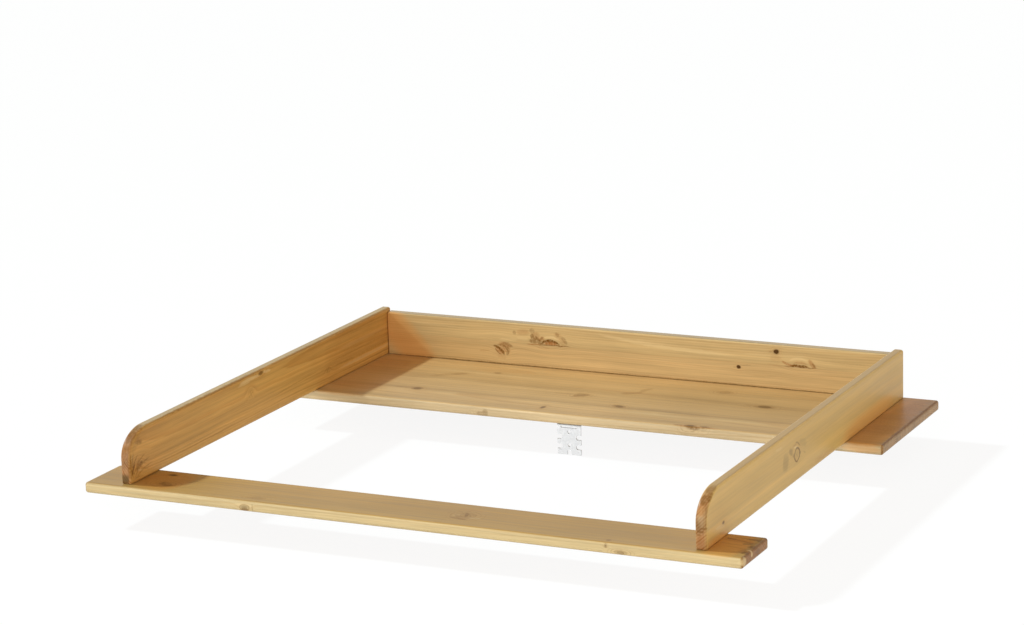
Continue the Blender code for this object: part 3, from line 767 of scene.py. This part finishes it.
def dress_rear_board():
    """The rear board: four staves, with the side rails' shade painted on it, and a dark painted shade line
    at the back rail.
    """
    looks = {
        **COMMON_LOOKS, "face": (193, 158, 108), "edge": (211, 187, 147), "end": (180, 149, 108),
        "short": (132, 90, 44), "figure": 0.32, "level": 16,
    }
    staves = [
        (0.235, -80, -60, 0.7, (255, 255, 255)), (0.5, 90, 50, 0.25, (250, 249, 248)),
        (0.745, -100, 40, 0.55, (253, 250, 246)), (1.0, 80, -60, 0.4, (251, 245, 236)),
    ]
    bands = [
        (518, 0), (526, -5), (535, -2), (550, 2), (564, 6), (572, 2), (580, -7), (590, -2), (606, 1),
        (636, 2), (648, -1), (659, -8), (670, -4), (682, -1), (693, 5), (706, 0), (720, 1), (742, 5),
        (756, 1), (780, 0),
    ]
    knots = [
        knot((-290, 580, 15), (9, 8, 8), 0.68, 0.5, 0.2, swell=0.8),
        knot((-264, 684, 14), (14, 6, 8), 0.2, 0.1, 0.2, turn=24),
        knot((-209, 708, 14), (8, 5, 8), 0.45, 0.2, 0.1),
        knot((-52, 543, 15), (4.5, 9, 8), 0.72, 0.3, 0.2, swell=0.6),
        knot((-25, 628, 14), (11, 10, 10), 0.3, 0.4, 0.3),
        knot((58, 586, 15), (11, 7, 8), 0.68, 0.4, 0.3, turn=-20),
        knot((183, 715, 14), (12, 9, 10), 0.25, 0.2, 0.3), knot((272, 656, 15), (15, 8, 8), 0.72, 0.4, 0.3),
        knot((203, 522, 14), (10, 5, 6), 0.75, 0.5, 0.4), knot((226, 522, 14), (7, 4, 6), 0.5, 0.5, 0.3),
        knot((-150, 517, 8), (9, 6, 6), 0.0, 0.0, 0.12, swell=1.0),
    ]
    # Painted shade: broad dark, red and warm strokes inside the left rail and outside the right rail, a
    # broad grey one over the right half, and the dark line at the back rail's foot
    strokes = {}
    strokes["dark"] = [
        (-438, 762, 438, 762, 2.6, 0.6), (-442, 640, -352, 640, 240, 0.11), (470, 700, 506, 690, 14, 0.35),
        (462, 640, 500, 630, 5, 0.35, 1), (480, 748, 508, 742, 8, 0.4), (468, 590, 506, 584, 4, 0.3),
        (507.5, 530, 507.5, 776, 4, 0.6, 0, 14), (456, 660, 514, 650, 250, 0.32),
        (-440, 600, -330, 602, 4, 0.3), (-440, 642, -300, 644, 5, 0.3), (-440, 682, -320, 681, 4, 0.25),
        (-436, 560, -340, 562, 4, 0.25), (-440, 730, -370, 730, 5, 0.25), (30, 658, 60, 674, 11, 0.34, -2),
        (56, 674, 66, 700, 10, 0.3, 3), (-306, 658, -254, 692, 13, 0.22), (-72, 628, -40, 630, 9, 0.16),
        (-36, 615, -10, 634, 9, 0.34, 3), (194, 519, 221, 516, 5, 0.75), (177, 519, 193, 522, 4, 0.4),
        (223, 517, 239, 519.5, 3, 0.5), (-144, 515.5, -134, 515.5, 6, 0.4, 0, 6),
        (-154, 515.5, -140, 515.5, 3, 0.35, 0, 2), (-330, 580, -300, 579, 8, 0.15),
        (240, 657, 258, 656, 4, 0.2),
    ]
    strokes["red"] = [
        (178, 519, 252, 519, 5, 0.4), (-60, 672, 90, 668, 12, 0.12), (-436, 560, -340, 570, 40, 0.15),
        (-436, 700, -370, 700, 60, 0.22), (462, 610, 506, 600, 30, 0.16),
    ]
    strokes["amber"] = [
        (-442, 640, -352, 640, 240, 0.28), (452, 620, 506, 620, 300, 0.44),
        (446, 514, 508, 514, 8, 0.25, 0, 8),
    ]
    strokes["grey"] = [(60, 600, 560, 600, 340, 0.17)]
    strokes["pale"] = [(-320, 700, -120, 694, 8, 0.12), (70, 560, 300, 566, 10, 0.15)]
    dress_wood("rear_board", "rear_board_pine", looks, staves, bands, knots, strokes)


def dress_back_rail():
    """The back rail: two staves, three broken knots that are drawn by strokes, and painted shade at its
    left end and foot.
    """
    looks = {
        **COMMON_LOOKS, "face": (209, 182, 132), "edge": (172, 148, 112), "end": (190, 145, 90),
        "short": (140, 92, 44), "figure": 0.3, "gloss": 0.18, "streaks": 0.8, "level": 763.5,
    }
    staves = [(0.531, -120, -20, 0.42, (255, 251, 246)), (1.0, 110, 45, 0.66, (254, 254, 250))]
    bands = [(18, -2), (28, 1), (44, 0), (57, -1), (66, 2), (73, 0), (80, 1), (86, 0)]
    knots = [
        knot((-228, 764, 42), (14, 16, 10), 0.0, 0.0, 0.0, swell=2.0, turn=-30),
        knot((-141, 764, 53), (18, 18, 10), 0.0, 0.0, 0.0, swell=2.5),
        knot((187, 764, 46.2), (4.8, 8, 4.2), 1.0, 0.0, 0.0, swell=0.4),
        knot((250, 764, 76.0), (5.6, 8, 4.8), 1.0, 0.2, 0.2, swell=0.6),
        knot((290, 764, 55), (15, 16, 7), 0.0, 0.0, 0.0, swell=2.5),
    ]
    # Painted shade: the warm band at the left end follows the left rail's shadow edge, and the dark line
    # runs along the foot
    strokes = {}
    strokes["amber"] = [(-480, 120, -352, -12, 50, 0.44)]
    strokes["dark"] = [
        (-242, 46, -223, 32, 4.2, 0.95, 3.0), (-240, 42, -229, 32, 2.2, 0.6, -1.5),
        (-235, 47, -214, 53, 3.2, 0.5), (-225, 48, -215.5, 33, 3.2, 0.65, 2),
        (-221, 53, -226, 44, 3.4, 0.5), (-219, 38, -217, 31, 3.4, 0.5),
        (-158, 54.5, -123, 55, 4.4, 1.0, 7.6), (-158, 54, -107, 55, 1.8, 0.75),
        (-164, 58, -151, 57, 6, 0.65), (-174, 70, -165, 60, 7.0, 0.68, -1), (-177, 60, -164, 57, 6, 0.6),
        (-166, 67, -158, 58, 4.4, 0.75), (-175, 80, -170, 72, 8, 0.35), (-131, 76, -124, 70, 5, 0.35),
        (-152, 67, -160, 60, 3.6, 0.55), (-207, 71, -201, 71, 6, 0.4), (-150, 58, -128, 58, 2.6, 0.6, 3),
        (-227, 51, -208, 47, 5, 0.5, 1), (-218, 46, -214, 36, 4, 0.45), (-120, 69, -111, 58, 6, 0.4, 1),
        (192, 49, 207, 50.6, 1.6, 0.3), (178, 45, 183, 46, 1.6, 0.25), (238, 75, 244, 75, 2.0, 0.35),
        (274, 55, 303, 55, 4.6, 1.0, 0.8), (262, 54, 317, 54.2, 1.8, 0.6), (310, 62, 315, 55, 3.0, 0.45),
        (20, 71, 150, 70, 1.2, 0.15), (320, 67, 420, 66, 2.0, 0.15), (210, 34, 250, 36, 1.2, 0.2),
        (-438, 16.4, 438, 16.4, 1.6, 0.6),
    ]
    strokes["red"] = [
        (-238, 44, -228, 35, 6.0, 0.55), (-226, 44, -219, 37, 4.0, 0.5), (-268, 36, -250, 37, 2.4, 0.25),
        (-150, 57, -129, 57, 6.0, 0.85, 1), (-182, 53.6, -156, 54, 1.8, 0.55),
        (-163, 67, -155, 60, 5.0, 0.5), (-132, 75, -116, 57, 10.0, 0.22, 2), (-199, 72, -178, 73, 9.0, 0.3),
        (-168, 74, -162, 62, 12.0, 0.35), (-158, 66, -150, 63, 6.0, 0.5), (-164, 50, -142, 49, 3.0, 0.18),
        (-232, 50, -212, 45, 9.0, 0.4), (-236, 41, -224, 36, 12.0, 0.5), (240, 66, 258, 63, 12, 0.15),
        (259, 62, 280, 55.5, 4.0, 0.55, -1.5), (278, 58, 301, 59, 3.6, 0.35, 3),
        (304, 67, 315, 54, 6.0, 0.5), (236, 55, 262, 54, 2, 0.2), (-236, 30, -220, 27, 6, 0.15),
    ]
    strokes["pale"] = [
        (-48, 79, 172, 64, 6.0, 0.4, -3.5), (-10, 76, 130, 66, 8.0, 0.2, -1),
        (-150, 67, -121, 62, 2.6, 0.4, 4), (272, 64, 302, 65, 4.0, 0.35, 3), (-200, 63, -180, 61, 5.0, 0.2),
        (-390, 74, -290, 71, 3.0, 0.2), (-230, 58, -200, 59, 5.0, 0.2), (200, 68, 300, 72, 4, 0.15),
    ]
    dress_wood("back_rail", "back_rail_pine", looks, staves, bands, knots, strokes)


def dress_side_rails():
    """The side rails: one stave each, with the end grain of their noses, painted shade, and a darker
    key-lit side.
    """
    left_looks = {
        **SIDE_RAIL_LOOKS, "face": (205, 158, 87), "edge": (178, 152, 108), "end": (164, 123, 84),
        "short": (122, 74, 34), "end_rim": 0.55, "figure": 0.45, "gloss": 0.12, "end_figure": 0.85,
        "ring": 2.5, "level": -438.2, "far_face": (188, 152, 98),
    }
    left_bands = [(18, -2), (25, -1), (33, 3), (41, -2), (49, -2), (61, 3), (72, 0), (84, -3), (90, 0)]
    left_knots = [
        knot((-438, 346, 87), (7, 8, 3.5), 0.65, 0.3, 0.3),
        knot((-438, 313, 62), (10, 8, 8), 0.06, 0.08, 0.1),
        knot((-438, 558, 40), (7, 8, 5), 0.1, 0.12, 0.1),
        knot((-438, -24, 34), (10, 16, 10), 0.0, 0.0, 0.0, swell=2.0, turn=30, part=0.6),
    ]
    # Painted shade on the left rail: the dark lines along the inner top edge and the broad red stroke
    # towards the back
    left_strokes = {}
    left_strokes["dark"] = [
        (-31, 28, -23, 44, 6, 0.9, 1), (-33, 31, -24, 31, 5, 0.7), (-20, 32, -1, 42, 6, 0.78, 1.5),
        (-3, 41, 6, 38, 2.4, 0.3), (-11, 49, -17, 38, 2, 0.35), (-35, 24, -31, 62, 2.4, 0.65, 1),
        (-33, 23, -24, 60, 2.4, 0.62, 2.5), (-31, 24, -14, 55, 2.4, 0.6, 4), (-28, 24, 4, 51, 2.4, 0.55, 5),
        (-24, 24, 16, 43, 2.2, 0.48, 4), (-18, 23, 26, 34, 2.0, 0.38, 3),
        (20, 91.4, 370, 91.4, 2.4, 0.5, 0, -439.6), (360, 91.4, 778, 91.4, 2.4, 0.4, 0, -439.6),
        (40, 28, 260, 27, 2.2, 0.22), (30, 40, 200, 38, 2.0, 0.2), (120, 33, 300, 33, 1.8, 0.2),
        (20, 52, 140, 50, 1.8, 0.15), (380, 40, 520, 46, 2.2, 0.25, 1), (-10, 33, 14, 26, 2, 0.25, 1),
        (-24, 24, 0, 20, 2, 0.2), (-18, 74, 0, 71.5, 7, 0.5), (-35, 60, -22, 80, 6, 0.45, 2),
        (-27, 79, -8, 90, 9, 0.6, 2), (-10, 89, 6, 91, 5, 0.4), (0, 90, 24, 92, 4, 0.25),
        (306, 57, 321, 64, 2, 0.25, 1), (311, 67, 317, 56, 2.4, 0.22), (553, 36, 562, 44, 2.4, 0.28, 1),
        (560, 50, 776, 49.5, 2.2, 0.22), (585, 41, 650, 38.5, 3, 0.25), (650, 39, 776, 38.5, 4.5, 0.24),
        (610, 25.5, 776, 25, 3, 0.22), (500, 85, 776, 84, 3.5, 0.15), (580, 58.5, 776, 58, 1.8, 0.12),
        (480, 42, 560, 41.5, 2.2, 0.18), (-34, 34, -31, 64, 16, 0.2), (-31, 62, -8, 84, 15, 0.22),
        (-38, 56, -32, 78, 9, 0.45, 0, -446), (-28, 76, -4, 89, 10, 0.7, 0, -446),
        (-8, 88, 14, 92.4, 8, 0.7, 0, -446), (-32, 72, -16, 88, 7, 0.75, 1, -440),
    ]
    left_strokes["grey"] = [(-42, 23, -32, 23, 14, 0.85, 0, -450), (-42, 23, -32, 23, 14, 0.85, 0, -447)]
    left_strokes["red"] = [
        (-26, 83, 4, 90, 9, 0.3, 2), (-34, 40, -6, 30, 24, 0.22), (-36, 66, -30, 74, 8, 0.25),
        (560, 60, 776, 60, 60, 0.14),
    ]
    left_strokes["pale"] = [
        (282, 84.5, 342, 85, 5, 0.38, 1), (276, 82, 312, 82, 3, 0.25), (352, 87, 376, 85, 4, 0.35),
        (600, 32.5, 776, 32.5, 5, 0.28), (-16, 32, -6, 31, 3.5, 0.3), (600, 64, 776, 63, 6, 0.12),
        (-34, 46, -22, 62, 9, 0.12, 0, -444),
    ]
    left_staves = [(1.0, 25, 80, 0.42, (255, 255, 255))]
    dress_wood(
        "side_rail_left", "left_rail_pine", left_looks, left_staves, left_bands, left_knots,
        left_strokes)
    right_looks = {
        **SIDE_RAIL_LOOKS, "face": (211, 176, 108), "edge": (167, 135, 86), "end": (166, 127, 86),
        "short": (124, 80, 38), "end_rim": 0.72, "figure": 0.09, "end_figure": 1.3, "streaks": 0.45,
        "level": 454.2, "far_face": (190, 156, 102),
    }
    right_bands = [(18, -1), (26, -1), (36, 4), (47, -3), (60, 0), (70, -1), (82, 3), (90, 0)]
    right_knots = [
        knot((454, 308, 54), (8, 10.5, 10), 0.1, 1.0, 0.0, swell=2.0),
        knot((454, 26, 37), (6, 5.2, 2.8), 0.65, 0.2, 0.2, swell=0.5),
    ]
    # Painted shade on the right rail: the warm strokes along the foot and on the nose
    right_strokes = {}
    right_strokes["grey"] = [
        (252, 57, 273, 51, 22, 0.27), (278, 66, 290, 61, 8, 0.2), (318, 71, 346, 60, 10, 0.14),
        (-44, 50, -30, 50, 18, 0.28, 0, 442), (-44, 54, -30, 54, 16, 0.22, 0, 449),
    ]
    right_strokes["dark"] = [
        (291, 58, 296, 54, 5, 0.5), (316, 56, 321, 52, 5, 0.6), (303, 73, 321, 63.5, 2.8, 0.55, 1.5),
        (302, 57, 312, 50, 1.6, 0.25), (277, 67, 291, 61, 9, 0.25), (333, 52, 343, 47, 2.4, 0.2),
        (-27, 76, -12, 87, 9, 0.75, 1, 446), (-22, 80, -6, 90, 8, 0.75, 1, 452),
        (-14, 88, 12, 92.8, 5, 0.55, 0, 448), (-34, 60, -20, 86, 5, 0.35, 2, 453),
        (-44, 37, -30, 38, 3, 0.6, 0, 441), (-44, 41, -30, 42, 3, 0.65, 0, 446),
        (-44, 45, -30, 46, 3, 0.6, 0, 451), (10, 26, 34, 20, 4, 0.2),
    ]
    right_strokes["red"] = [
        (294, 70, 306, 70, 2.6, 0.4), (-40, 66, -24, 80, 16, 0.4, 0, 446), (-36, 24, 14, 20, 12, 0.2),
        (-44, 28, -30, 28, 20, 0.35, 0, 446), (380, 24, 460, 20, 10, 0.2),
    ]
    right_strokes["amber"] = [
        (500, 21, 720, 26, 32, 0.34), (-30, 18, 40, 18, 14, 0.35), (-42, 66, -30, 78, 18, 0.08, 0, 446),
    ]
    right_strokes["pale"] = [
        (-43, 44, -31, 80, 16, 0.17, 0, 448), (296, 67, 312, 64, 3.5, 0.45), (224, 82, 250, 80, 4, 0.2),
        (0, 36, 30, 32, 5, 0.2),
    ]
    right_staves = [(1.0, 90, -100, 0.45, (255, 255, 255))]
    dress_wood(
        "side_rail_right", "right_rail_pine", right_looks, right_staves, right_bands, right_knots,
        right_strokes)


def zinc_plate():
    """Bright zinc: pale cloudy spangle and fine rolling lines, and a dull shade close under the board."""
    zinc = Finish(bpy.data.materials.new("zinc_plate"))
    place = zinc.coordinates()
    spangle = zinc.noise(place, scale=260.0, detail=2.0)
    lines = zinc.noise(zinc.vector("MULTIPLY", place, (2600.0, 90.0, 90.0)), detail=2.0)
    colour = zinc.blend(spangle, screen(194, 195, 196), screen(220, 220, 219))
    shadowed = zinc.step(zinc.parts(place)["Z"], -0.0046, -0.0026, 0.0, 0.72)
    colour = zinc.blend(shadowed, colour, screen(96, 93, 84))
    dullness = zinc.step(lines, 0.2, 0.8, 0.42, 0.56)
    zinc.feed(zinc.shader, Base_Color=colour, Roughness=dullness, Metallic=1.0)
    zinc.bump(zinc.plus(lines, spangle), 0.2, 0.00003)
    return zinc.material


def screw_steel():
    """Yellowish plated steel with fine turning marks."""
    steel = Finish(bpy.data.materials.new("screw_steel"))
    marks = steel.noise(steel.coordinates(), scale=900.0, detail=2.0)
    colour = steel.blend(marks, screen(176, 170, 156), screen(212, 206, 190))
    dullness = steel.step(marks, 0.2, 0.8, 0.24, 0.42)
    steel.feed(steel.shader, Base_Color=colour, Roughness=dullness, Metallic=1.0)
    steel.bump(marks, 0.2, 0.00002)
    return steel.material


def bare_beech():
    """Bare beech dowel: even pinkish wood with short dark flecks along it."""
    beech = Finish(bpy.data.materials.new("bare_beech"))
    fleck = beech.noise(beech.vector("MULTIPLY", beech.coordinates(), (900.0, 900.0, 120.0)), detail=3.0)
    colour = beech.blend(beech.step(fleck, 0.5, 0.75), screen(214, 172, 126), screen(160, 112, 74))
    beech.feed(beech.shader, Base_Color=colour, Roughness=beech.step(fleck, 0.2, 0.8, 0.55, 0.7))
    beech.bump(fleck, 0.3, 0.00005)
    return beech.material


def dress_hardware():
    """Materials of the steel pieces and the hidden dowels."""
    dress(dressed_steel("fixing_bracket", BRACKET_EDGE), zinc_plate())
    steel = screw_steel()
    beech = bare_beech()
    for name in sorted(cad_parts):
        if name.startswith("screw_"):
            dress(dressed_steel(name, SCREW_EDGE), steel)
        if name.startswith("dowel_"):
            dress(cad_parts[name], beech)


# The floor's height and half width in metres, what it throws back, and what the camera sees of it
FLOOR_Z = -0.0506
FLOOR_HALF = 6.0
FLOOR_ALBEDO = 0.80
FLOOR_GLOW = 0.90
FLOOR_SHADE = 0.10

# The camera's place in metres and its turns in degrees, fitted to the photograph's straight edges
CAMERA_PLACE = (1.9547, -3.6968, 1.3046)
CAMERA_YAW = 25.859
CAMERA_PITCH = 13.615
CAMERA_ROLL = -1.780
FOCAL_PIXELS = 3136.7
PHOTO_WIDTH = 1024
SENSOR_WIDTH = 36.0

# The way the key light travels, its spread in degrees, strength and tint, and the light all round
KEY_TRAVEL = (0.751, 0.068, -0.656)
KEY_SPREAD = 3.4
KEY_STRENGTH = 3.05
KEY_TINT = (0.80, 0.95, 1.0)
AMBIENT = 0.37
AMBIENT_TINT = (1.0, 0.87, 0.70)

# Name, place, power in watts and tint of each soft box, their target and their size
SOFT_BOXES = [
    ("front_left_box", (-1.8, -3.6, 0.6), 56.0, (0.92, 0.95, 1.0)),
    ("camera_box", (1.2, -3.8, 1.9), 54.0, (1.0, 0.92, 0.78)),
    ("right_box", (6.0, -1.2, 1.8), 76.0, (1.0, 0.92, 0.78)),
]
BOX_TARGET = (0, 0.3, 0)
BOX_SIZE = (1.6, 1.2)


def seen_share(finish):
    """One for rays that come from the camera, from glossy surfaces or through clear ones, else zero."""
    path = finish.add("ShaderNodeLightPath").outputs
    seen = finish.most(path["Is Camera Ray"], path["Is Glossy Ray"])
    return finish.most(seen, path["Is Transmission Ray"])


def studio_floor():
    """Pale floor that shows white and keeps a soft part of the shadow."""
    corners = FLOOR_HALF * np.array([(-1, -1), (1, -1), (1, 1), (-1, 1)], float)
    points = np.concatenate((corners, np.full((4, 1), FLOOR_Z)), axis=1)
    mesh = bpy.data.meshes.new("floor")
    mesh.from_pydata(points.tolist(), [], [(0, 1, 2, 3)])
    floor = linked("floor", mesh)
    finish = Finish(bpy.data.materials.new("pale_floor"))
    bounce = finish.add("ShaderNodeBsdfDiffuse", (FLOOR_ALBEDO, FLOOR_ALBEDO, FLOOR_ALBEDO, 1)).outputs[0]
    shade = finish.add("ShaderNodeBsdfDiffuse", (FLOOR_SHADE, FLOOR_SHADE, FLOOR_SHADE, 1)).outputs[0]
    glow = finish.add("ShaderNodeEmission", (1, 1, 1, 1), FLOOR_GLOW).outputs[0]
    shown = finish.add("ShaderNodeAddShader", glow, shade).outputs[0]
    surface = finish.add("ShaderNodeMixShader", seen_share(finish), bounce, shown).outputs[0]
    finish.feed(finish.nodes["Material Output"], Surface=surface)
    finish.nodes.remove(finish.shader)
    dress(floor, finish.material)


def studio_world():
    """Even surroundings: white where they are seen, and a dimmer, warm level as light."""
    world = bpy.data.worlds.new("studio")
    bpy.context.scene.world = world
    finish = Finish(world)
    light = (*(AMBIENT * share for share in AMBIENT_TINT), 1)
    finish.feed(finish.nodes["Background"], Color=finish.blend(seen_share(finish), light, (1, 1, 1, 1)))


def add_lamp(name, kind, place, target, energy, **settings):
    """A lamp at a place, turned to its target."""
    data = bpy.data.lights.new(name, kind)
    data.energy = energy
    for option, setting in settings.items():
        setattr(data, option, setting)
    lamp = linked(name, data)
    lamp.location = place
    lamp.rotation_euler = Vector(np.subtract(target, place)).to_track_quat("-Z", "Y").to_euler()


def studio_lamps():
    """Key from the left, and soft boxes at the front left, beside the camera and at the right."""
    place = [-3 * share for share in KEY_TRAVEL]
    spread = math.radians(KEY_SPREAD)
    add_lamp("key", "SUN", place, (0, 0, 0), KEY_STRENGTH, angle=spread, color=KEY_TINT)
    box = {"shape": "RECTANGLE", "size": BOX_SIZE[0], "size_y": BOX_SIZE[1]}
    for name, place, power, tint in SOFT_BOXES:
        add_lamp(name, "AREA", place, BOX_TARGET, power, color=tint, **box)


def photo_camera():
    """Camera at the photograph's place: looks along yaw and pitch, then rolls about its own axis."""
    yaw, pitch, roll = (math.radians(turn) for turn in (CAMERA_YAW, CAMERA_PITCH, CAMERA_ROLL))
    look = np.array((-math.sin(yaw) * math.cos(pitch), math.cos(yaw) * math.cos(pitch), -math.sin(pitch)))
    level = np.array((math.cos(yaw), math.sin(yaw), 0.0))
    upright = np.cross(level, look)
    right = math.cos(roll) * level + math.sin(roll) * upright
    up = math.cos(roll) * upright - math.sin(roll) * level
    data = bpy.data.cameras.new("camera")
    data.sensor_width = SENSOR_WIDTH
    data.lens = FOCAL_PIXELS * SENSOR_WIDTH / PHOTO_WIDTH
    camera = linked("camera", data)
    turn = Matrix(np.stack((right, up, -look), axis=1).tolist()).to_4x4()
    camera.matrix_world = Matrix.Translation(CAMERA_PLACE) @ turn
    bpy.context.scene.camera = camera


dress_front_board()
dress_rear_board()
dress_back_rail()
dress_side_rails()
dress_hardware()
studio_floor()
studio_world()
studio_lamps()
photo_camera()
bpy.context.scene.view_settings.view_transform = "Standard"
